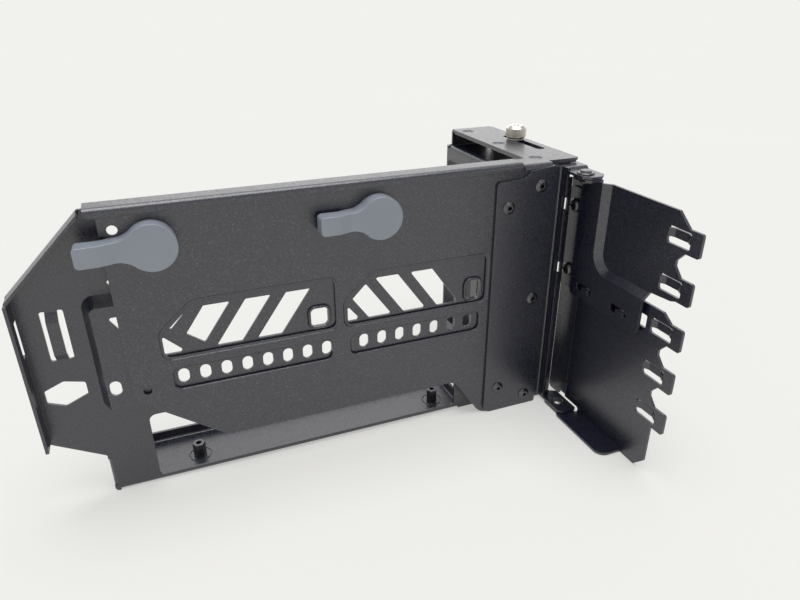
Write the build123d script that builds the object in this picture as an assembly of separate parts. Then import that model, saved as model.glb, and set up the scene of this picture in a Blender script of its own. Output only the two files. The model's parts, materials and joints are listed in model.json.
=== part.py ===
from build123d import *
import os
from math import cos, radians, sqrt, tan

# Upright bracket that holds a graphics card, millimetres, +Z up, the panel faces -Y

# Overall reach from the middle of the part
half_length = 122.3
half_depth = 83.0

# Sheet and fits
sheet = 1.2
bend = 1.0
bend_mid = bend + sheet / 2
gap = 0.3
pin_play = 0.05

# Sheets from back to front, the tray's front face is Y 0
panel_back = -7.0
panel_front = panel_back - sheet
plate_front = panel_front - sheet
post_back = panel_back + sheet
frame_flange_back = post_back + sheet

# Riser tray
tray_left = -half_length
tray_right = 86.5
tray_top = 129.6
wing_low = 31.4
wing_top = 97.6
wing_flange = 8.0
fold_relief = 0.8
fold_slit_low = 72.8
fold_slit_high = 88.2
fold_slit_deep = 3.2
leg_left = -102.2
leg_shoulder = 19.6
leg_flange = 10.0
channel_left = -90.3
channel_right = 87.4
channel_front = panel_front - gap - sheet
channel_lip = 126.0
web_top = tray_top - bend - sheet - 0.2

# Raised face of the tray
emboss_left = -98.6
emboss_right = 77.5
emboss_low = 41.3
emboss_high = 93.5
emboss_depth = -panel_back - gap
emboss_angle = 23.5
emboss_corner = 5.0

# Slanted openings in the raised face
stripe_top = 85.0
stripe_low = 66.0
stripe_width = 10.7
stripe_pitch = 16.7
stripe_lean = 13.6
vent_count = 19
vent_pitch = 8.7
vent_right = 64.25
vent_width = 4.4
vent_height = 6.8
vent_z = 55.0

# Tray window, shelf and standoffs
tray_window_left = -83.1
tray_window_right = 62.4
tray_window_top = 35.0
rail_high = 2.9
shelf_right = 67.3
shelf_depth = 29.2
shelf_lip = 6.0
standoff_span = 119.4
standoff_mid = -5.3
standoff_y = 10.3
standoff_flat = 5.0
standoff_height = 6.8
standoff_ring = 5.2
m3_tap = 1.25

# Levers and the slots that let the tray slide
lever_left_x = -69.6
lever_right_x = 18.8
lever_z = 114.3
lever_radius = 9.1
lever_reach = 26.0
lever_width = 7.8
lever_thick = 6.5
lever_raise = 1.8
lever_back = panel_front - gap
tray_travel = 40.0
stud_radius = 2.0

# Back panel
panel_left = -86.6
panel_top = tray_top - sheet - 0.4
panel_low = 22.4
panel_right = 105.0
panel_leg_left = 73.4
panel_leg_run = 15.4
panel_leg_flare = 8.0
panel_window_low = 65.0
panel_window_high = 88.0
panel_slot_low = 49.8
panel_slot_high = 59.6
rim_wide = 0.9
rim_deep = 0.45

# Corner plate and its rivets
plate_left = 74.9
plate_right = 105.4
plate_foot = 4.0
plate_step = (89.0, 92.0)
rivet_shank = 1.6
rivet_head = 3.0
rivet_head_high = 1.3
rivet_tail = 2.1

# Hinge post and pivot
pivot_x = 114.0
pivot_y = -18.5
pivot_pin = 1.6
post_left = 78.5
post_right = 110.6
post_front = -11.8
post_low = 1.8
post_top = 125.7
ear_top_low = 123.3
ear_right = pivot_x + 6.9
ear_front = pivot_y - 6.9
ear_step = pivot_y + 7.5
ear_cut = 3.0
low_ear_front = pivot_y - 9.0
low_ear_back = pivot_y + 12.0
low_ear_right = pivot_x + 5.3
edge_notch_z = (109.25, 77.55)
edge_notch_high = 5.7
edge_notch_deep = 2.0

# Slotted frame and top clamp
frame_wall = 94.1
frame_right = 117.0
frame_top = 119.6
frame_slit_x = 114.7
frame_slit_wide = 1.6
frame_slit_high = 6.0
frame_slit_z = (106.8, 74.25)
frame_back = half_depth - rivet_head_high - sheet
slot_pitch = 20.32
slot_first = 9.5
slot_wide = 13.5
slot_low = 12.0
slot_high = 112.0
tab_rest_right = 118.0
clamp_rivet_z = 113.0
clamp_top = 128.0
clamp_left = 95.9
clamp_right = 120.7
clamp_front = -3.9
clamp_flange_left = 89.4
clamp_flange_right = 104.0
clamp_flange_low = 111.6
side_skirt_low = frame_top + 1.0
screw_x = 114.6
screw_y = 42.6
screw_shank = 2.0
screw_slot_front = 17.5
screw_slot_back = 53.0
screw_slot_wide = 4.5
screw_head = 5.2
screw_head_high = 6.4
screw_washer = 0.6
bar_left = 104.5
bar_right = 119.2
bar_half = 7.0
bar_thick = 2.4
bar_hub = 4.4
bar_drop = 4.7

# Comb
comb_face = 119.9
comb_outer = comb_face + sheet
comb_set = 3.0
comb_low = 0.3
comb_rear = -0.5
finger_tip = -half_depth
finger_reach = 7.0
finger_base = finger_tip + finger_reach
finger_top = 116.1
finger_high = 10.0
upper_top = finger_top + 5.6
upper_step = finger_top - slot_pitch - finger_high - 2.1
upper_edge = finger_base + 14.3
lower_top = finger_top - 2 * slot_pitch + 3.3
upper_low = lower_top - 14.8
step_edge = pivot_y - 11.7
step_rear = pivot_y + 7.9
step_corner = 7.0
strip_top = 114.6
lance_tip = finger_tip + 5.3
lance_root = finger_base + 10.3
lance_high = 7.1
lance_strip = 3.5
lance_ramp = 2.4
comb_screw_y = -6.5
comb_screw_z = (strip_top - 8.7, upper_low + 9.2)
comb_screw_shank = 1.5
comb_screw_head = 3.25
comb_screw_high = 2.2
cross_long = 3.4
cross_wide = 0.7
cross_deep = 1.1
comb_flange_left = pivot_x - 5.7
hook_slot_z = lower_top - 9.2
hook_slot_y = (pivot_y - 5.3, upper_edge + 13.2)
hook_slot_long = 10.4
hook_slot_high = 3.6


def front_plane(y):
    # Sketch x is X and sketch y is Z, thickness grows toward the front
    return Plane(origin=(0, y, 0), x_dir=(1, 0, 0), z_dir=(0, -1, 0))


def side_plane(x):
    # Sketch x is Y and sketch y is Z, thickness grows toward +X
    return Plane(origin=(x, 0, 0), x_dir=(0, 1, 0), z_dir=(1, 0, 0))


def level(z):
    return Plane(origin=(0, 0, z))


def outline(corners):
    # Each corner is (u, v, radius), radius 0 leaves it sharp
    points = [(u, v) for u, v, r in corners]
    radii = [r for u, v, r in corners]
    return make_face(FilletPolyline(*points, radius=radii, close=True))


def bent(points, radius=bend_mid):
    # Sheet profile along a centreline
    return trace(FilletPolyline(*points, radius=radius), line_width=sheet)


def block(x0, x1, y0, y1, z0, z1):
    body = Box(x1 - x0, y1 - y0, z1 - z0)
    return Pos((x0 + x1) / 2, (y0 + y1) / 2, (z0 + z1) / 2) * body


def front_cut(face, y_front, y_back):
    # Prism of a front view face between two Y values
    return extrude(front_plane(y_back) * face, amount=y_back - y_front)


def side_cut(face, x0, x1):
    return extrude(side_plane(x0) * face, amount=x1 - x0)


def rod_y(x, z, radius, y_front, y_back):
    return front_cut(Pos(x, z) * Circle(radius), y_front, y_back)


def save(part, name):
    export_step(part, os.path.join("parts", name + ".step"))


os.makedirs("parts", exist_ok=True)


# Riser tray
def stripe(x, lean, top_left=stripe_top, top_right=stripe_top, low_left=stripe_low, low_right=stripe_low):
    # Slanted opening whose left edge meets the top line at x
    def along(z):
        return lean * (stripe_top - z) / (stripe_top - stripe_low)

    return outline([
        (x + along(top_left), top_left, 0.6),
        (x + stripe_width + along(top_right), top_right, 0.6),
        (x + stripe_width + along(low_right), low_right, 0.6),
        (x + along(low_left), low_left, 0.6)])


wing_slope = (channel_left - tray_left) / (tray_top - wing_top)
tray = extrude(front_plane(sheet) * outline([
    (leg_left, 0, 2.0),
    (leg_left, leg_shoulder, 1.0),
    (tray_left, wing_low, 0.8),
    (tray_left, wing_top, 0),
    (tray_left + wing_slope * (web_top - wing_top), web_top, 0),
    (tray_right, web_top, 0),
    (tray_right, 0, 1.0)]), amount=sheet)

# Wing flanges turned to the front, with a relief at the corner between them
tray += block(tray_left, tray_left + sheet, -wing_flange, sheet,
              wing_low + fold_relief, wing_top - fold_relief)
wing_run = sqrt((channel_left - tray_left) ** 2 + (tray_top - wing_top) ** 2)
along_x = (channel_left - tray_left) / wing_run
along_z = (tray_top - wing_top) / wing_run
fold_end = (web_top - wing_top) / along_z - 0.5


def wing_point(run, inset):
    # Point on the sloping edge of the wing, set in from the edge
    return (tray_left + along_x * run + along_z * inset, wing_top + along_z * run - along_x * inset, 0)


tray += front_cut(outline([
    wing_point(fold_relief, 0), wing_point(fold_end, 0),
    wing_point(fold_end, sheet), wing_point(fold_relief, sheet)]), -wing_flange, sheet)
tray -= block(tray_left - 1, tray_left + sheet, -fold_slit_deep, sheet + 1, fold_slit_low, fold_slit_high)

# Leg's outer edge turned back, clear of the bottom fold
fold = bend + sheet
leg_fold_low = fold + fold_relief
leg_fold_high = leg_shoulder - fold
tray -= block(leg_left - 1, leg_left + fold, -1, sheet + 1, leg_fold_low, leg_fold_high)
tray += extrude(level(leg_fold_low) * bent([
    (leg_left + sheet / 2, leg_flange),
    (leg_left + sheet / 2, sheet / 2),
    (leg_left + 2 * fold, sheet / 2)]), amount=leg_fold_high - leg_fold_low)

# Channel that hooks over the top edge of the back panel
channel = extrude(side_plane(channel_left) * bent([
    (sheet / 2, web_top - 1.0),
    (sheet / 2, tray_top - sheet / 2),
    (channel_front + sheet / 2, tray_top - sheet / 2),
    (channel_front + sheet / 2, channel_lip)]), amount=channel_right - channel_left)
lip_ends = [e for e in channel.edges().filter_by(Axis.Y) if e.center().Y < channel_front + sheet]
tray += fillet(lip_ends, radius=1.8)

# Raised face pressed toward the panel
emboss_wide = emboss_right - emboss_left
emboss_tall = emboss_high - emboss_low
emboss_at = Pos((emboss_left + emboss_right) / 2, (emboss_low + emboss_high) / 2)
inset = sheet * (1 / cos(radians(emboss_angle)) - tan(radians(emboss_angle)))
hollow = RectangleRounded(emboss_wide - 2 * inset, emboss_tall - 2 * inset, emboss_corner - inset)
tray += extrude(front_plane(0) * emboss_at * RectangleRounded(emboss_wide, emboss_tall, emboss_corner),
                amount=emboss_depth, taper=emboss_angle)
tray -= extrude(front_plane(sheet) * emboss_at * hollow, amount=emboss_depth, taper=emboss_angle)

# Openings in the raised face
face_cuts = [stripe(-54.8, -stripe_lean, low_left=73.8, low_right=68.5)]
face_cuts += [stripe(-54.8 + stripe_pitch * i, -stripe_lean) for i in (1, 2)]
face_cuts += [stripe(1.3, stripe_lean, top_left=76.6, top_right=82.8)]
face_cuts += [stripe(1.3 + stripe_pitch * i, stripe_lean) for i in (1, 2)]
face_cuts += [outline([
    (-72.1, 74.5, 0.5), (-65.1, 67.5, 0.5), (-65.6, stripe_low, 0.5), (-72.1, stripe_low, 0.5)])]
face_cuts += [outline([(4.9, 73.5, 0.5), (9.7, 67.5, 0.5), (9.4, stripe_low, 0.5), (4.9, stripe_low, 0.5)])]
face_cuts += [outline([(-90.2, 86.0, 1.0), (-79.0, 86.0, 0.5), (-79.0, 74.0, 0.5), (-82.5, 74.0, 0.5)])]
face_cuts += [outline([(-69.2, 77.0, 0), (-67.8, 77.0, 0), (-62.6, 82.6, 0.2), (-63.2, 82.6, 0.2)])]
face_cuts += [Pos(-7.9, 71.1) * RectangleRounded(7.7, 8.7, 2.0)]
face_cuts += [Pos(66.2, 71.5) * RectangleRounded(7.2, 9.6, 2.2)]
vent = SlotOverall(vent_height, vent_width, rotation=90)
face_cuts += [Pos(vent_right - vent_pitch * i, vent_z) * vent for i in range(vent_count)]
for face in face_cuts:
    tray -= front_cut(face, -emboss_depth - 1, -emboss_depth + sheet + 0.5)

# Lever slots, sight holes and the wing's openings
stud_slot = SlotCenterToCenter(tray_travel, 2 * stud_radius + 0.4)
wing_cuts = [Pos(x + tray_travel / 2, lever_z) * stud_slot for x in (lever_left_x, lever_right_x)]
wing_cuts += [Pos(-82.4, 117.8) * Circle(4.0)]
wing_cuts += [Pos(-87.0, 97.7) * Circle(1.0)]
wing_cuts += [outline([
    (-118.5, 55.8, 1.0), (-111.0, 59.0, 1.5), (-103.3, 57.0, 1.0),
    (-103.3, 51.2, 1.0), (-112.0, 47.4, 1.5), (-118.5, 50.2, 1.0)])]
tie_left = -113.2
tie_right = -104.9
tie_low = 68.3
tie_high = 89.7
tie_slot = 2.0
wing_cuts += [outline([
    (tie_left, tie_low, 1.0), (tie_right, tie_low, 1.0),
    (tie_right, tie_high, 1.0), (tie_left, tie_high, 1.0)])]
for face in wing_cuts:
    tray -= front_cut(face, -1, sheet + 1)

# Bridge for a cable tie between the two wing slots
bridge = bent([
    (sheet / 2, tie_low - 1.0), (sheet / 2, tie_low + 0.6), (sheet / 2 - 2.5, tie_low + 4.0),
    (sheet / 2 - 2.5, tie_high - 4.0), (sheet / 2, tie_high - 0.6), (sheet / 2, tie_high + 1.0)], 0.8)
tray += side_cut(bridge, tie_left + tie_slot, tie_right - tie_slot)

# Lower window over the bottom rail, and the shelf turned back under it with a lip and a right end
tray -= front_cut(outline([
    (tray_window_left, rail_high, 1.5), (tray_window_right, rail_high, 1.5),
    (tray_window_right, tray_window_top, 3.0), (tray_window_left, tray_window_top, 3.0)]), -1, sheet + 1)
shelf_left = leg_left + fold
tray -= block(shelf_left, shelf_right - fold, -1, sheet + 1, -1, fold)
shelf = bent([
    (sheet / 2, rail_high), (sheet / 2, sheet / 2),
    (shelf_depth - sheet / 2, sheet / 2), (shelf_depth - sheet / 2, shelf_lip)])
tray += side_cut(shelf, shelf_left, shelf_right - fold)
shelf_end = bent([
    (shelf_right - 2 * fold, sheet / 2), (shelf_right - sheet / 2, sheet / 2),
    (shelf_right - sheet / 2, shelf_lip)])
tray += front_cut(shelf_end, fold, shelf_depth - fold)

# A stamped ring and a hole under each standoff
standoff_x = (standoff_mid - standoff_span / 2, standoff_mid + standoff_span / 2)
for x in standoff_x:
    spot = level(0) * Pos(x, standoff_y)
    tray -= extrude(spot * Circle(m3_tap + 0.5), amount=2 * sheet)
    ring = Circle(standoff_ring) - Circle(standoff_ring - 0.5)
    tray -= extrude(level(sheet * 3 / 4) * Pos(x, standoff_y) * ring, amount=sheet)
save(tray, "riser_tray")

# Standoffs with a tapped hole
standoff_tip_radius = standoff_flat / sqrt(3)
for x, name in zip(standoff_x, ("standoff_left", "standoff_right")):
    base = level(sheet) * Pos(x, standoff_y)
    post = extrude(base * RegularPolygon(standoff_tip_radius, 6), amount=standoff_height)
    post -= extrude(base * Circle(m3_tap), amount=standoff_height + 1)
    save(post, name)

# Back panel
panel = front_cut(outline([
    (panel_left, panel_top, 1.5),
    (clamp_flange_left - 0.5, panel_top, 0.5),
    (clamp_flange_left - 0.5, clamp_flange_low - 0.4, 0.5),
    (panel_right, clamp_flange_low - 0.4, 0.5),
    (panel_right, 0, 0.8),
    (panel_leg_left, 0, panel_leg_flare),
    (panel_leg_left - panel_leg_run, panel_low, 6.0),
    (-52.4, panel_low, 6.0),
    (panel_left, 48.4, 3.0)]), panel_front, panel_back)
for left, right in ((-72.1, -0.7), (3.9, 72.5)):
    window = outline([
        (left, panel_window_low, 3.0),
        (right, panel_window_low, 3.0),
        (right, panel_window_high, 3.0),
        (left + 13.5, panel_window_high, 5.0),
        (left, panel_window_high - 11.5, 5.0)])
    panel -= front_cut(window, panel_front - 1, panel_back + 1)
    rim = front_plane(panel_front + rim_deep) * offset(window, rim_wide)
    panel -= extrude(rim, amount=2 * rim_deep, taper=-45)
for left, right in ((-70.2, -3.2), (5.5, 69.9)):
    slot = Pos((left + right) / 2, (panel_slot_low + panel_slot_high) / 2) * RectangleRounded(
        right - left, panel_slot_high - panel_slot_low, 3.0)
    panel -= front_cut(slot, panel_front - 1, panel_back + 1)
    panel -= extrude(front_plane(panel_front + rim_deep) * slot, amount=2 * rim_deep, taper=-45)
for x, z, radius in ((-81.9, 120.6, 1.9), (-80.9, 52.0, 1.7)):
    panel -= rod_y(x, z, radius, panel_front - 1, panel_back + 1)
for x in (lever_left_x, lever_right_x):
    panel -= rod_y(x, lever_z, stud_radius + pin_play, panel_front - 1, panel_back + 1)

# Corner rivets pass through the plate, the panel or clamp flange, the post and some the slotted frame
rivets_deep = ((97.5, 118.2), (98.2, 62.0), (98.5, 6.3))
rivets_short = ((81.3, 109.8), (82.4, 13.9))
for x, z in rivets_deep + rivets_short:
    panel -= rod_y(x, z, rivet_shank + pin_play, panel_front - 1, panel_back + 1)
save(panel, "back_panel")

# Corner plate
plate = front_cut(outline([
    (plate_left, 0, plate_foot),
    (plate_left, clamp_top - 6.2, 2.0),
    (plate_step[0], clamp_top - 5.4, 1.0),
    (plate_step[1], clamp_top - 2.4, 1.0),
    (plate_right, clamp_top - 1.0, 1.6),
    (plate_right, 0, 0.8)]), plate_front, panel_front)
for x, z in rivets_deep + rivets_short:
    plate -= rod_y(x, z, rivet_shank + pin_play, plate_front - 1, panel_front + 1)
save(plate, "corner_plate")


def rivet(grip):
    # Blind rivet along Z with its head resting on Z 0 and its shank below
    half = make_face(Polyline(
        (0.9, -1.6), (0.9, rivet_head_high), (rivet_head - 1.2, rivet_head_high), (rivet_head, 0.3),
        (rivet_head, 0), (rivet_shank, 0), (rivet_shank, -grip), (rivet_tail, -grip),
        (rivet_tail, -grip - 1.6), (1.4, -grip - 2.6), (0, -grip - 2.6), (0, -1.6), (0.9, -1.6)))
    return revolve(Plane.XZ * half, Axis.Z)


def front_rivet(x, z, grip):
    return Pos(x, plate_front, z) * Rot(90, 0, 0) * rivet(grip)


corner_set = [front_rivet(x, z, 4 * sheet) for x, z in rivets_deep]
corner_set += [front_rivet(x, z, 3 * sheet) for x, z in rivets_short]
save(Compound(corner_set), "corner_rivets")

# Hinge post with an ear at the top and one at the bottom
post = extrude(level(post_low) * bent([
    (post_left, post_back - sheet / 2),
    (post_right - sheet / 2, post_back - sheet / 2),
    (post_right - sheet / 2, post_front)]), amount=post_top - post_low)
post -= block(post_left - 1, clamp_flange_right + gap, panel_back - 1, post_back + 1,
              clamp_top - 4.0, post_top + 1)
for z in edge_notch_z:
    post -= block(post_right - 2 * sheet, post_right + 1, post_front - 1, post_front + edge_notch_deep,
                  z - edge_notch_high / 2, z + edge_notch_high / 2)
ear_profile = bent([
    (ear_front, ear_top_low + sheet / 2), (ear_step, ear_top_low + sheet / 2),
    (ear_step + sheet, post_top - sheet / 2), (-1.0, post_top - sheet / 2)], 0.8)
ear = side_cut(ear_profile, post_right - sheet, ear_right)
ear &= extrude(level(ear_top_low - 1) * outline([
    (post_right - sheet, 1, 0),
    (post_right - sheet, ear_front + ear_cut, 0.5),
    (post_right - sheet + ear_cut, ear_front, 0.5),
    (ear_right - ear_cut, ear_front, 0.5),
    (ear_right, ear_front + ear_cut, 0.5),
    (ear_right, 1, 0)]), amount=5)
post += ear
post += extrude(level(post_low) * outline([
    (post_right - sheet, low_ear_back, 0.5),
    (post_right - sheet, low_ear_front + 1.6, 0.5),
    (post_right - sheet + 1.6, low_ear_front, 0.5),
    (low_ear_right, low_ear_front, 1.5),
    (low_ear_right, low_ear_back - 3.5, 2.0),
    (low_ear_right - 6.3, low_ear_back, 1.0)]), amount=sheet)
post -= Pos(pivot_x, pivot_y, post_top / 2) * Cylinder(pivot_pin + pin_play, post_top + 10)
for x, z in rivets_deep + rivets_short:
    post -= rod_y(x, z, rivet_shank + pin_play, panel_back - 1, post_back + 1)
save(post, "hinge_post")

# Hinge rivets, the upper with a stepped head and a domed tail, the lower ending flush under the comb
upper_ear_low = ear_top_low - gap - sheet
tail_top = upper_ear_low - gap
top_half = make_face(Polyline(
    (0, tail_top - 1.9), (1.2, tail_top - 1.9), (2.4, tail_top - 0.9), (2.4, tail_top),
    (pivot_pin, tail_top), (pivot_pin, ear_top_low + sheet), (3.9, ear_top_low + sheet),
    (3.9, ear_top_low + sheet + 0.4), (3.5, ear_top_low + sheet + 0.7), (2.6, ear_top_low + sheet + 0.7),
    (2.4, ear_top_low + sheet + 1.5), (0, ear_top_low + sheet + 1.7), (0, tail_top - 1.9)))
save(Pos(pivot_x, pivot_y, 0) * revolve(Plane.XZ * top_half, Axis.Z), "hinge_rivet_top")
low_half = make_face(Polyline(
    (0, comb_low + 0.1), (pivot_pin, comb_low + 0.1), (pivot_pin, post_low + sheet), (3.0, post_low + sheet),
    (3.0, post_low + sheet + 0.5), (2.2, post_low + sheet + 1.1), (0, post_low + sheet + 1.1),
    (0, comb_low + 0.1)))
save(Pos(pivot_x, pivot_y, 0) * revolve(Plane.XZ * low_half, Axis.Z), "hinge_rivet_bottom")

# Slotted frame for the card's end bracket
frame = extrude(level(0) * bent([
    (frame_right, post_back + sheet / 2),
    (frame_wall - sheet / 2, post_back + sheet / 2),
    (frame_wall - sheet / 2, frame_back - sheet / 2),
    (tab_rest_right, frame_back - sheet / 2)]), amount=frame_top)
rest_front = slot_first - slot_wide / 2 - fold
rest_back = frame_back - sheet - fold
frame += block(frame_wall - sheet / 2, tab_rest_right, rest_front, rest_back, 0, sheet)

# Rest for the tabs of the card's end bracket, turned out from the wall's top
frame -= block(frame_wall - 2 * sheet, frame_wall + 1, rest_front, rest_back,
               frame_top - fold, frame_top + 1)
frame += front_cut(bent([
    (frame_wall - sheet / 2, frame_top - 2 * fold), (frame_wall - sheet / 2, frame_top - sheet / 2),
    (tab_rest_right, frame_top - sheet / 2)]), rest_front, rest_back)
slot_room = frame_back - sheet - bend - slot_wide / 2 - slot_first
for i in range(int(slot_room / slot_pitch) + 1):
    opening = Pos(slot_first + slot_pitch * i, (slot_low + slot_high) / 2) * RectangleRounded(
        slot_wide, slot_high - slot_low, 2.0)
    frame -= side_cut(opening, frame_wall - 2 * sheet, frame_wall + sheet)
for z in frame_slit_z:
    frame -= front_cut(Pos(frame_slit_x, z) * Rectangle(frame_slit_wide, frame_slit_high),
                       post_back - 1, frame_flange_back + 1)
for x, z in rivets_deep:
    frame -= rod_y(x, z, rivet_shank + pin_play, post_back - 1, frame_flange_back + 1)
clamp_rivet_spots = ((clamp_left + 6.1, clamp_rivet_z), (clamp_right - 6.7, clamp_rivet_z))
for x, z in clamp_rivet_spots:
    frame -= rod_y(x, z, rivet_shank + pin_play, frame_back - sheet - 1, frame_back + 1)
save(frame, "io_frame")

# Top clamp plate
clamp_mid = clamp_top - sheet / 2
clamp = extrude(level(clamp_top - sheet) * outline([
    (clamp_left, frame_back - 2.0, 0.5),
    (clamp_left, 4.0, 1.0),
    (clamp_flange_left, 4.0, 0.5),
    (clamp_flange_left, -4.0, 0),
    (clamp_flange_right, -4.0, 0),
    (clamp_flange_right, clamp_front, 0),
    (clamp_right, clamp_front, 1.5),
    (clamp_right, frame_back - 2.0, 0.5)]), amount=sheet)
clamp += side_cut(bent([
    (-3.0, clamp_mid), (panel_front + sheet / 2, clamp_mid),
    (panel_front + sheet / 2, clamp_flange_low)]), clamp_flange_left, clamp_flange_right)
clamp += side_cut(bent([
    (frame_back - 4.0, clamp_mid), (frame_back + sheet / 2, clamp_mid),
    (frame_back + sheet / 2, clamp_rivet_z - 7.0)]), clamp_left + 1.1, clamp_right - 0.9)
skirt_low = clamp_top - 2.0
clamp += block(clamp_left, clamp_left + sheet, 6.0, frame_back - 4.5, skirt_low, clamp_top - sheet)
clamp += block(clamp_right - sheet, clamp_right, 2.0, frame_back - 4.5, side_skirt_low, clamp_top - sheet)
clamp += block(clamp_flange_right + 1, clamp_right - 1.5, clamp_front, clamp_front + sheet,
               skirt_low, clamp_top - sheet)
clamp -= extrude(level(clamp_top - 3) * Pos(screw_x, (screw_slot_front + screw_slot_back) / 2) * SlotOverall(
    screw_slot_back - screw_slot_front, screw_slot_wide, rotation=90), amount=5)
dimple_front = clamp_front + 6.9
dimple_back = frame_back - 9.5
for y in (dimple_front, (dimple_front + dimple_back) / 2, dimple_back):
    clamp -= Pos(clamp_left + 5.5, y, clamp_top - 0.25) * Cone(2.6, 3.6, 0.5)
for x, z in rivets_deep:
    clamp -= rod_y(x, z, rivet_shank + pin_play, panel_front - 1, panel_back + 1)
for x, z in clamp_rivet_spots:
    clamp -= rod_y(x, z, rivet_shank + pin_play, frame_back - 1, frame_back + sheet + 1)
save(clamp, "clamp_plate")
clamp_set = []
for x, z in clamp_rivet_spots:
    clamp_set.append(Pos(x, frame_back + sheet, z) * Rot(-90, 0, 0) * rivet(2 * sheet))
save(Compound(clamp_set), "clamp_rivets")

# Clamp bar, washer and thumbscrew
bar_top = clamp_top - sheet - 0.1
bar_low = bar_top - bar_drop
bar = block(bar_left, bar_right, screw_y - bar_half, screw_y + bar_half, bar_low, bar_low + bar_thick)
bar = fillet(bar.edges().filter_by(Axis.Z), radius=2.0)
bar += Pos(screw_x, screw_y, (bar_low + bar_top) / 2) * Cylinder(bar_hub, bar_top - bar_low)
bar -= Pos(screw_x, screw_y, bar_top) * Cylinder(screw_shank + pin_play, 4 * bar_drop)
save(bar, "clamp_bar")
washer = Cylinder(bar_hub, screw_washer) - Cylinder(screw_shank + pin_play, 2 * screw_washer)
save(Pos(screw_x, screw_y, clamp_top + 0.1 + screw_washer / 2) * washer, "thumbscrew_washer")
head_low = clamp_top + screw_washer + 0.2
head_high = head_low + screw_head_high
screw_tip = bar_low - 0.9
head_half = make_face(Polyline(
    (0, screw_tip), (screw_shank - 0.4, screw_tip), (screw_shank, screw_tip + 0.5), (screw_shank, head_low),
    (screw_head - 0.8, head_low), (screw_head, head_low + 1.0), (screw_head, head_high - 1.4),
    (screw_head - 1.5, head_high), (1.8, head_high), (1.4, head_high - 0.6), (0, head_high - 0.6),
    (0, screw_tip)))
thumb = revolve(Plane.XZ * head_half, Axis.Z)

# Straight knurl round the head between its two chamfers
knurl_count = 40
knurl_tall = screw_head_high - 2.4
knurl = Pos(screw_head, 0, head_low + 1.0 + knurl_tall / 2) * Rot(0, 0, 45) * Box(0.35, 0.35, knurl_tall)
thumb -= [Rot(0, 0, 360 / knurl_count * i) * knurl for i in range(knurl_count)]
save(Pos(screw_x, screw_y, 0) * thumb, "thumbscrew")

# Levers with a raised tip, each on a stud with a spacer, a washer and a nut behind the tray
lever_front = lever_back - lever_thick
grip_face = Circle(lever_radius) + Pos(-lever_reach / 2, 0) * Rectangle(lever_reach, lever_width)
neck = [v for v in grip_face.vertices() if -lever_radius < v.X < -2]
grip_face = fillet(neck, radius=9.0)
tips = [v for v in grip_face.vertices() if v.X < -lever_reach + 0.1]
grip_face = fillet(tips, radius=1.6)
grip = extrude(front_plane(0) * grip_face, amount=30)
side_face = outline([
    (lever_radius + 1, lever_back, 0),
    (-13.0, lever_back, 3.0),
    (-17.0, lever_back - lever_raise, 3.0),
    (-lever_reach - 1, lever_back - lever_raise, 0),
    (-lever_reach - 1, lever_front - lever_raise, 0),
    (-18.5, lever_front - lever_raise, 4.0),
    (-13.0, lever_front, 4.0),
    (lever_radius + 1, lever_front, 0)])
lever = grip & extrude(level(-20) * side_face, amount=40)
front_edges = [e for e in lever.edges() if e.center().Y < lever_front + 0.05]
lever = fillet(front_edges, radius=0.35)
lever -= rod_y(0, 0, stud_radius + pin_play, lever_back - 4.5, lever_back + 1)
stud_back = sheet + gap + 0.8 + 3.4
for x, name in ((lever_left_x, "lever_left"), (lever_right_x, "lever_right")):
    save(Pos(x, 0, lever_z) * lever, name)
    stud = rod_y(x, lever_z, stud_radius, lever_back - 4.4, stud_back)
    save(stud, name + "_stud")
    spacer = rod_y(x, lever_z, 4.0, panel_back, -gap)
    spacer -= rod_y(x, lever_z, stud_radius + pin_play, panel_back - 1, 1)
    save(spacer, name + "_spacer")
    ring = rod_y(x, lever_z, 4.5, sheet + gap, sheet + gap + 0.8)
    ring -= rod_y(x, lever_z, stud_radius + pin_play, sheet, sheet + 4)
    save(ring, name + "_washer")
    nut = front_cut(Pos(x, lever_z) * RegularPolygon(7.0 / sqrt(3), 6), sheet + gap + 0.8, stud_back - 0.6)
    nut -= rod_y(x, lever_z, stud_radius + pin_play, sheet, stud_back + 1)
    save(nut, name + "_nut")


# Comb, two sheets screwed together that swing on the hinge rivets
def finger(i):
    top = finger_top - slot_pitch * i
    return [
        (finger_base, top, 0.6), (finger_tip, top, 1.2),
        (finger_tip, top - finger_high, 1.2), (finger_base, top - finger_high, 0.6)]


def notch(i):
    top = finger_top - slot_pitch * i
    return [(finger_base + 3.6, top - 14.0, 1.5), (finger_base + 3.6, top - 16.4, 1.5)]


def lance(plate, i):
    # Opening in a finger with a strip pressed outward across its upper half
    top = finger_top - slot_pitch * i
    hole = Pos((lance_tip + lance_root) / 2, top - finger_high / 2 + 0.25) * RectangleRounded(
        lance_root - lance_tip, lance_high, 1.0)
    strip = bent([
        (comb_face + sheet / 2, lance_root + 0.6), (comb_face + sheet / 2, lance_root - 0.1),
        (comb_outer + sheet / 2, lance_root - 0.1 - lance_ramp),
        (comb_outer + sheet / 2, lance_tip + 0.1 + lance_ramp),
        (comb_face + sheet / 2, lance_tip + 0.1), (comb_face + sheet / 2, lance_tip - 0.6)], 0.7)
    plate -= side_cut(hole, comb_face - 1, comb_outer + 1)
    return plate + extrude(level(top - finger_high / 2 - 0.75) * strip, amount=lance_strip)


upper_outline = [
    (comb_rear, upper_low, 1.0),
    (comb_rear, strip_top, 4.0),
    (pivot_y + 6.9, strip_top, 1.0),
    (pivot_y + 5.9, upper_ear_low + sheet, 0),
    (pivot_y - 7.5, upper_ear_low + sheet, 0),
    (pivot_y - 7.5, upper_top, 0.4),
    (finger_base + 6.5, upper_top, 0.8)]
upper_outline += finger(0) + notch(0) + finger(1)
upper_outline += [
    (finger_base + 2.6, upper_step + 1.2, 0.8), (upper_edge, upper_step + 0.2, 0.5),
    (upper_edge, upper_low, 3.0)]

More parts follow.
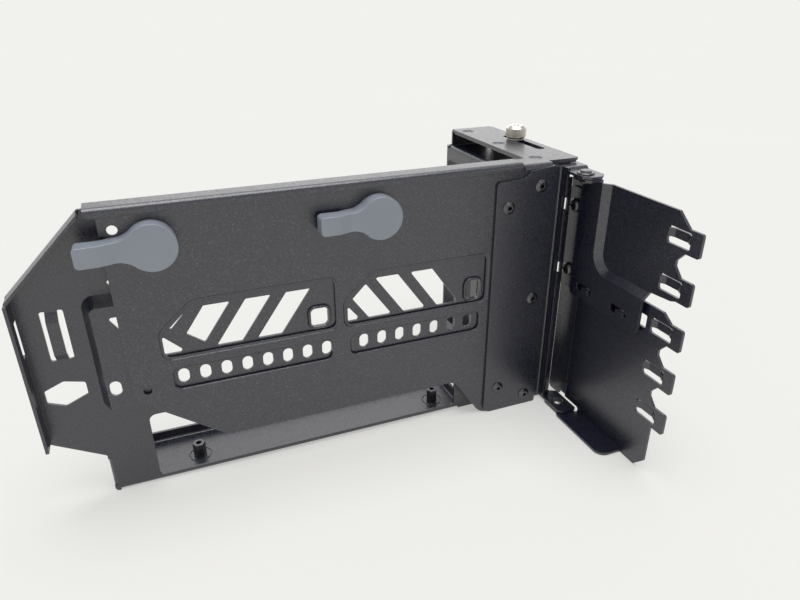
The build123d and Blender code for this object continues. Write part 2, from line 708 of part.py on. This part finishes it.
# The strip by the hinge is set forward from the finger plane by a 45 degree step
beyond = 10 * comb_set
step_inset = sheet * (sqrt(2) - 1)


def set_face(shrink):
    # L shape that runs past the plate on its outer sides, drawn in by shrink
    left = finger_tip - beyond + shrink
    low = upper_low - beyond + shrink
    top = upper_top + beyond - shrink
    return outline([
        (step_edge + shrink, top, 0), (step_edge + shrink, upper_step - shrink, step_corner + shrink),
        (left, upper_step - shrink, 0), (left, low, 0), (step_rear - shrink, low, 0),
        (step_rear - shrink, top, 0)])


def back_plane(x):
    # Sketch x is -Y and sketch y is Z, thickness grows toward -X
    return Plane(origin=(x, 0, 0), x_dir=(0, -1, 0), z_dir=(-1, 0, 0))


flip = Plane.YZ
upper = block(comb_face, comb_outer, finger_tip - beyond, comb_rear + beyond,
              upper_low - beyond, upper_top + beyond)
outer_step = mirror(set_face(0), about=flip)
inner_step = mirror(set_face(step_inset), about=flip)
upper += extrude(back_plane(comb_face) * outer_step, amount=comb_set, taper=45)
upper -= extrude(back_plane(comb_outer) * inner_step, amount=comb_set, taper=45)
upper &= side_cut(outline(upper_outline), comb_face - 2 * comb_set, comb_outer + 1)
for i in (0, 1):
    upper = lance(upper, i)
ear_inner = comb_face - comb_set + sheet
upper += extrude(level(upper_ear_low) * outline([
    (ear_inner, pivot_y + 4.9, 0), (ear_inner, pivot_y - 7.1, 0), (pivot_x - 2.0, pivot_y - 7.1, 2.0),
    (pivot_x - 3.8, pivot_y - 5.0, 2.0), (pivot_x - 3.8, pivot_y + 3.5, 1.5),
    (pivot_x - 2.0, pivot_y + 4.9, 1.5)]), amount=sheet)
upper -= Pos(pivot_x, pivot_y, upper_ear_low) * Cylinder(pivot_pin + pin_play, 8)
for y in hook_slot_y:
    upper -= side_cut(Pos(y, hook_slot_z) * RectangleRounded(hook_slot_long, hook_slot_high, 0.6),
                      comb_face - comb_set - 1, comb_face - comb_set + sheet + 0.5)
for z in comb_screw_z:
    screw_hole = Pos(comb_screw_y, z) * Circle(comb_screw_shank + pin_play)
    upper -= side_cut(screw_hole, comb_face - 1, comb_outer + 0.5)
save(upper, "comb_upper")

lower_strip_top = tail_top - gap
ear_clear = post_low + sheet + 0.5
lower_outline = [
    (pivot_y + 8.9, comb_low + 0.5, 0.8),
    (comb_rear, comb_low + 0.5, 1.5),
    (comb_rear, lower_strip_top, 2.0),
    (pivot_y + 2.5, lower_strip_top, 2.0),
    (pivot_y + 2.5, lower_top, 2.0),
    (finger_base + 4.7, lower_top, 0.8)]
lower_outline += finger(2) + notch(2) + finger(3) + notch(3) + finger(4)
lower_outline += [
    (finger_base, comb_low + 5.7, 0.8), (finger_base + 5.4, comb_low, 0.8),
    (pivot_y - 9.3, comb_low, 0), (pivot_y - 9.3, ear_clear, 1.2), (pivot_y + 8.9, ear_clear, 1.0)]
lower_step = pivot_y + 3.1
lower = extrude(level(0) * bent([
    (comb_face + sheet / 2, finger_tip - 1), (comb_face + sheet / 2, lower_step - sheet),
    (comb_outer + sheet / 2, lower_step), (comb_outer + sheet / 2, comb_rear + 1)], 0.8), amount=upper_top)
lower &= side_cut(outline(lower_outline), comb_face - 1, comb_outer + 2 * sheet)
for i in (2, 3, 4):
    lower = lance(lower, i)

# Bottom flange with a tongue under the hinge post's lower ear
lower += extrude(level(comb_low) * outline([
    (comb_outer, finger_base + 14.6, 0), (comb_outer, pivot_y - 9.3, 0),
    (pivot_x + 4.0, pivot_y - 9.3, 1.2), (pivot_x + 4.0, pivot_y + 6.5, 2.0),
    (pivot_x - 4.4, pivot_y + 6.5, 2.0), (pivot_x - 4.4, pivot_y - 5.5, 0.5),
    (comb_flange_left, pivot_y - 8.0, 0.5), (comb_flange_left, finger_base + 14.6, 5.0)]), amount=sheet)
lower -= Pos(pivot_x, pivot_y, comb_low) * Cylinder(pivot_pin + pin_play, 4)
lower -= side_cut(Pos(upper_edge + 1.1, hook_slot_z + 0.8) * RectangleRounded(5.1, 6.0, 0.6),
                  comb_face - 1, comb_outer + 1)

# Hooks that stand through the slots of the upper sheet
hook_face = comb_face - comb_set - gap
for y in hook_slot_y:
    front = y - hook_slot_long / 2 + 0.4
    lower += block(hook_face - sheet, comb_face + 0.4, front + 3.6, front + 4.8,
                   hook_slot_z - 1.3, hook_slot_z + 1.3)
    lower += block(hook_face - sheet, hook_face, front, front + 4.8, hook_slot_z - 1.3, hook_slot_z + 1.3)
    lower -= side_cut(Pos(front + 1.6, hook_slot_z) * RectangleRounded(3.2, hook_slot_high, 0.5),
                      comb_face - 0.5, comb_outer + 1)
for z in comb_screw_z:
    screw_hole = Pos(comb_screw_y, z) * Circle(comb_screw_shank + pin_play)
    lower -= side_cut(screw_hole, comb_outer - 0.5, comb_outer + 2 * sheet)
save(lower, "comb_lower")

# Cross-head screws that join the two sheets
screw_half = make_face(Polyline(
    (0, -2 * sheet), (comb_screw_shank, -2 * sheet), (comb_screw_shank, 0), (comb_screw_head, 0),
    (comb_screw_head, comb_screw_high * 0.4), (comb_screw_head * 0.77, comb_screw_high * 0.82),
    (comb_screw_head * 0.46, comb_screw_high), (0, comb_screw_high), (0, -2 * sheet)))
screw = revolve(Plane.XZ * screw_half, Axis.Z)
screw -= Pos(0, 0, comb_screw_high) * Box(cross_long, cross_wide, 2 * cross_deep)
screw -= Pos(0, 0, comb_screw_high) * Box(cross_wide, cross_long, 2 * cross_deep)
screw_set = [Pos(comb_face, comb_screw_y, z) * Rot(0, -90, 0) * screw for z in comb_screw_z]
save(Compound(screw_set), "comb_screws")
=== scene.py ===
import json
from math import cos, pi, radians, sin

import bpy
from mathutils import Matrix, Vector


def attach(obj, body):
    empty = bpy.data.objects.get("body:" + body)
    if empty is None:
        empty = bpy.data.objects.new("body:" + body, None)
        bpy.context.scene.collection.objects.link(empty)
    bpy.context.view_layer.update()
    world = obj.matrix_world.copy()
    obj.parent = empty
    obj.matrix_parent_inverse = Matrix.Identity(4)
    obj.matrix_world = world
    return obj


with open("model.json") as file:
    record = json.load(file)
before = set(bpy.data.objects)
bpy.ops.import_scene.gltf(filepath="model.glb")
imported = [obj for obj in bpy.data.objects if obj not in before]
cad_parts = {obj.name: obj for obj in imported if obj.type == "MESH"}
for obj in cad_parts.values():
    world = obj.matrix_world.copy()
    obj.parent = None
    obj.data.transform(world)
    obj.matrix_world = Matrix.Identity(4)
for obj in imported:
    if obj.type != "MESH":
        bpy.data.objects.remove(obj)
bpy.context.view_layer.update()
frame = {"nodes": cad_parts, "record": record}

# Camera, solved from the edges and the finger spacing in the photograph
CAMERA_PLACE = (-0.06698, -0.24771, 0.19686)
CAMERA_TURN_DEG = (64.346, 0.135, -21.911)
CAMERA_LENS = 28.747
CAMERA_SENSOR = 36.0
CAMERA_NEAR = 0.01
CAMERA_FAR = 200.0

# Lamps: direction from the object, width in degrees and strength
KEY_LAMP = ((0.0, -0.06, 0.99), 50.0, 2.4)
BACK_LAMP = ((0.40, 0.85, 0.55), 65.0, 0.85)
WORLD_LIGHT = 0.28

# Backdrop, and the ceiling that takes over from it with height
BACKDROP = (0.883, 0.880, 0.855, 1.0)
CEILING = (0.40, 0.40, 0.41, 1.0)
CEILING_FROM = 0.20
CEILING_FULL = 0.80

# Floor
FLOOR_COLOUR = (0.90, 0.895, 0.87, 1.0)
FLOOR_CLOUD = 1.02
FLOOR_CLOUD_SCALE = 3.0
FLOOR_GLOW = (0.82, 0.817, 0.795, 1.0)
FLOOR_GLOW_SHARE = 0.5
FLOOR_REACH = 60.0

# The part of a noise's range that colours and roughness are spread over
NOISE_LOW = 0.3
NOISE_HIGH = 0.7
EDGE_SAMPLES = 6

# Collars drawn forward round the two rounded holes of the raised face, in metres:
# centre X and Z, hole width, hole height and corner radius
COLLARS = {
    "collar_left": (-0.0079, 0.0711, 0.0077, 0.0087, 0.0020),
    "collar_right": (0.0662, 0.0715, 0.0072, 0.0096, 0.0022)}
FACE_FRONT = -0.0067
COLLAR_HIGH = 0.0013
COLLAR_WALL = 0.0012
COLLAR_FLARE = 0.0003
COLLAR_SINK = 0.0002
LIP_STEPS = 8
CORNER_STEPS = 6


def shader_of(material):
    return material.node_tree.nodes["Principled BSDF"]


def add_node(material, kind, **values):
    # A node with its named inputs and settings filled in
    node = material.node_tree.nodes.new(kind)
    for name, value in values.items():
        if hasattr(node, name):
            setattr(node, name, value)
        else:
            node.inputs[name].default_value = value
    return node


def join(material, source, target):
    material.node_tree.links.new(source, target)


def new_material(name, metallic=0.0, specular=0.5, ior=1.5):
    material = bpy.data.materials.new(name)
    material.use_nodes = True
    shader = shader_of(material)
    shader.inputs["Metallic"].default_value = metallic
    shader.inputs["Specular IOR Level"].default_value = specular
    shader.inputs["IOR"].default_value = ior
    return material


def noise(material, scale, detail=2.0, roughness=0.5):
    # Noise in the object's own metres, so its grain has a real size
    coords = add_node(material, "ShaderNodeTexCoord")
    texture = add_node(
        material, "ShaderNodeTexNoise", Scale=scale, Detail=detail, Roughness=roughness)
    join(material, coords.outputs["Object"], texture.inputs["Vector"])
    return texture.outputs["Fac"]


def tone(material, source, dark, light, low=NOISE_LOW, high=NOISE_HIGH):
    # Colour that runs from dark to light with the source
    ramp = add_node(material, "ShaderNodeValToRGB")
    start, end = ramp.color_ramp.elements
    start.position = low
    start.color = dark
    end.position = high
    end.color = light
    join(material, source, ramp.inputs["Fac"])
    join(material, ramp.outputs["Color"], shader_of(material).inputs["Base Color"])


def vary_roughness(material, source, low, high):
    spread = add_node(material, "ShaderNodeMapRange")
    spread.inputs["From Min"].default_value = NOISE_LOW
    spread.inputs["From Max"].default_value = NOISE_HIGH
    spread.inputs["To Min"].default_value = low
    spread.inputs["To Max"].default_value = high
    join(material, source, spread.inputs["Value"])
    join(material, spread.outputs["Result"], shader_of(material).inputs["Roughness"])


def bump(material, source, height, strength, edge_radius):
    # Surface grain over edges that are softened by a small radius
    soft = add_node(material, "ShaderNodeBevel", samples=EDGE_SAMPLES, Radius=edge_radius)
    grain = add_node(material, "ShaderNodeBump", Distance=height, Strength=strength)
    join(material, soft.outputs["Normal"], grain.inputs["Normal"])
    join(material, source, grain.inputs["Height"])
    join(material, grain.outputs["Normal"], shader_of(material).inputs["Normal"])


def powder_coat():
    # Fine textured black coat with grains of under a millimetre
    material = new_material("black_powder_coat", ior=1.9)
    speckle = noise(material, scale=1900.0, detail=1.0)
    grain = noise(material, scale=1300.0)
    tone(
        material, speckle, dark=(0.0003, 0.0014, 0.014, 1), light=(0.080, 0.084, 0.100, 1),
        low=0.54, high=0.80)
    vary_roughness(material, grain, low=0.26, high=0.40)
    bump(material, grain, height=0.00008, strength=0.4, edge_radius=0.0003)
    return material


def black_oxide():
    material = new_material("black_oxide_steel", metallic=1.0)
    grain = noise(material, scale=900.0)
    tone(material, grain, dark=(0.090, 0.090, 0.096, 1), light=(0.150, 0.150, 0.158, 1))
    vary_roughness(material, grain, low=0.26, high=0.38)
    bump(material, grain, height=0.00003, strength=0.2, edge_radius=0.0003)
    return material


def moulded_grey():
    # Satin moulded plastic with a faint flow variation
    material = new_material("grey_moulded_plastic", specular=0.6)
    grain = noise(material, scale=1500.0)
    flow = noise(material, scale=60.0)
    tone(material, flow, dark=(0.262, 0.290, 0.338, 1), light=(0.290, 0.320, 0.370, 1))
    vary_roughness(material, grain, low=0.27, high=0.37)
    bump(material, grain, height=0.00004, strength=0.15, edge_radius=0.00015)
    return material


def bright_nickel():
    material = new_material("bright_nickel", metallic=1.0)
    grain = noise(material, scale=700.0, detail=3.0, roughness=0.6)
    tone(material, grain, dark=(0.60, 0.575, 0.51, 1), light=(0.71, 0.685, 0.615, 1))
    vary_roughness(material, grain, low=0.28, high=0.40)
    bump(material, grain, height=0.00002, strength=0.15, edge_radius=0.0002)
    return material


def plain_steel():
    material = new_material("plain_steel", metallic=1.0)
    grain = noise(material, scale=1200.0, detail=3.0, roughness=0.6)
    tone(material, grain, dark=(0.22, 0.22, 0.23, 1), light=(0.32, 0.32, 0.33, 1))
    vary_roughness(material, grain, low=0.28, high=0.42)
    bump(material, grain, height=0.00002, strength=0.2, edge_radius=0.0002)
    return material


def dress_nodes(finishes):
    # Each CAD node takes the finish that the record names for it
    for part in frame["record"]["subparts"]:
        node = frame["nodes"][part["node"]]
        node.data.materials.clear()
        node.data.materials.append(finishes[part["material_slot"]])


def rounded_outline(wide, high, radius):
    # Points round a rounded rectangle about the origin, in order
    points = []
    for turn, (side_x, side_z) in enumerate(((1, 1), (-1, 1), (-1, -1), (1, -1))):
        for step in range(CORNER_STEPS + 1):
            angle = pi / 2 * (turn + step / CORNER_STEPS)
            points.append((
                side_x * (wide / 2 - radius) + radius * cos(angle),
                side_z * (high / 2 - radius) + radius * sin(angle)))
    return points


def collar_profile():
    # Distance outward from the hole's edge and Y, from the hole's foot over the lip to the flared foot
    base = FACE_FRONT + COLLAR_SINK
    lip = FACE_FRONT - COLLAR_HIGH
    half = COLLAR_WALL / 2
    profile = [(0.0, base)]
    for step in range(LIP_STEPS + 1):
        angle = pi * step / LIP_STEPS
        profile.append((half - half * cos(angle), lip + half - half * sin(angle)))
    profile.append((COLLAR_WALL, FACE_FRONT - COLLAR_FLARE))
    profile.append((COLLAR_WALL + COLLAR_FLARE, base))
    return profile


def make_collar(name, finish):
    middle_x, middle_z, wide, high, radius = COLLARS[name]
    rings = []
    for out, y in collar_profile():
        outline = rounded_outline(wide + 2 * out, high + 2 * out, radius + out)
        rings.append([(middle_x + x, y, middle_z + z) for x, z in outline])
    count = len(rings[0])
    vertices = [point for ring in rings for point in ring]
    faces = []
    for row in range(len(rings)):
        here = row * count
        after = (row + 1) % len(rings) * count
        for i in range(count):
            j = (i + 1) % count
            faces.append((here + i, after + i, after + j, here + j))
    mesh = bpy.data.meshes.new(name)
    mesh.from_pydata(vertices, [], faces)
    mesh.polygons.foreach_set("use_smooth", [True] * len(faces))
    mesh.materials.append(finish)
    collar = bpy.data.objects.new(name, mesh)
    bpy.context.scene.collection.objects.link(collar)
    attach(collar, "tray")


def floor_material():
    # Pale matt floor that keeps an even tone where the camera or a mirror sees it
    material = new_material("pale_floor", specular=0.0)
    cloud = noise(material, scale=FLOOR_CLOUD_SCALE)
    light = tuple(c * FLOOR_CLOUD for c in FLOOR_COLOUR[:3]) + (1.0,)
    tone(material, cloud, dark=FLOOR_COLOUR, light=light)
    vary_roughness(material, cloud, low=0.75, high=0.85)
    glow = add_node(material, "ShaderNodeEmission", Color=FLOOR_GLOW, Strength=1.0)
    path = add_node(material, "ShaderNodeLightPath")
    seen = add_node(material, "ShaderNodeMath", operation="MAXIMUM")
    join(material, path.outputs["Is Camera Ray"], seen.inputs[0])
    join(material, path.outputs["Is Glossy Ray"], seen.inputs[1])
    share = add_node(material, "ShaderNodeMath", operation="MULTIPLY")
    join(material, seen.outputs[0], share.inputs[0])
    share.inputs[1].default_value = FLOOR_GLOW_SHARE
    mix = add_node(material, "ShaderNodeMixShader")
    join(material, share.outputs[0], mix.inputs["Fac"])
    join(material, shader_of(material).outputs[0], mix.inputs[1])
    join(material, glow.outputs[0], mix.inputs[2])
    surface = material.node_tree.nodes["Material Output"].inputs["Surface"]
    join(material, mix.outputs[0], surface)
    return material


def make_floor():
    mesh = bpy.data.meshes.new("floor")
    sides = ((-1, -1), (1, -1), (1, 1), (-1, 1))
    corners = [(x * FLOOR_REACH, y * FLOOR_REACH, 0.0) for x, y in sides]
    mesh.from_pydata(corners, [], [(0, 1, 2, 3)])
    floor = bpy.data.objects.new("floor", mesh)
    bpy.context.scene.collection.objects.link(floor)
    mesh.materials.append(floor_material())


def make_world():
    # Soft light all round, and a pale backdrop under a darker ceiling for the camera and mirrors
    world = bpy.data.worlds.new("studio")
    bpy.context.scene.world = world
    world.use_nodes = True
    nodes = world.node_tree.nodes
    links = world.node_tree.links
    light = nodes["Background"]
    light.inputs["Color"].default_value = (1.0, 1.0, 1.0, 1.0)
    light.inputs["Strength"].default_value = WORLD_LIGHT
    backdrop = nodes.new("ShaderNodeBackground")
    backdrop.inputs["Strength"].default_value = 1.0
    way = nodes.new("ShaderNodeTexCoord")
    split = nodes.new("ShaderNodeSeparateXYZ")
    rise = nodes.new("ShaderNodeValToRGB")
    start, end = rise.color_ramp.elements
    start.position = CEILING_FROM
    start.color = BACKDROP
    end.position = CEILING_FULL
    end.color = CEILING
    links.new(way.outputs["Generated"], split.inputs[0])
    links.new(split.outputs["Z"], rise.inputs["Fac"])
    links.new(rise.outputs["Color"], backdrop.inputs["Color"])
    path = nodes.new("ShaderNodeLightPath")
    seen = nodes.new("ShaderNodeMath")
    seen.operation = "MAXIMUM"
    links.new(path.outputs["Is Camera Ray"], seen.inputs[0])
    links.new(path.outputs["Is Glossy Ray"], seen.inputs[1])
    mix = nodes.new("ShaderNodeMixShader")
    links.new(seen.outputs[0], mix.inputs["Fac"])
    links.new(light.outputs[0], mix.inputs[1])
    links.new(backdrop.outputs[0], mix.inputs[2])
    links.new(mix.outputs[0], nodes["World Output"].inputs["Surface"])


def make_sun(name, place, width_deg, strength, seen_by_diffuse=True):
    # A wide soft lamp far away, in the direction of place from the object
    data = bpy.data.lights.new(name, "SUN")
    data.angle = radians(width_deg)
    data.energy = strength
    lamp = bpy.data.objects.new(name, data)
    bpy.context.scene.collection.objects.link(lamp)
    lamp.visible_diffuse = seen_by_diffuse
    lamp.location = place
    lamp.rotation_euler = (-Vector(place)).to_track_quat("-Z", "Y").to_euler()


def make_camera():
    data = bpy.data.cameras.new("camera")
    data.lens = CAMERA_LENS
    data.sensor_width = CAMERA_SENSOR
    data.clip_start = CAMERA_NEAR
    data.clip_end = CAMERA_FAR
    camera = bpy.data.objects.new("camera", data)
    bpy.context.scene.collection.objects.link(camera)
    camera.location = CAMERA_PLACE
    camera.rotation_euler = [radians(a) for a in CAMERA_TURN_DEG]
    bpy.context.scene.camera = camera


finishes = {
    "black_coat": powder_coat(),
    "black_fastener": black_oxide(),
    "grey_plastic": moulded_grey(),
    "nickel": bright_nickel(),
    "steel": plain_steel()}
dress_nodes(finishes)
for collar_name in COLLARS:
    make_collar(collar_name, finishes["black_coat"])
make_floor()
make_world()
make_sun("key", *KEY_LAMP)
make_sun("back", *BACK_LAMP, seen_by_diffuse=False)
make_camera()
bpy.context.scene.view_settings.view_transform = "Standard"
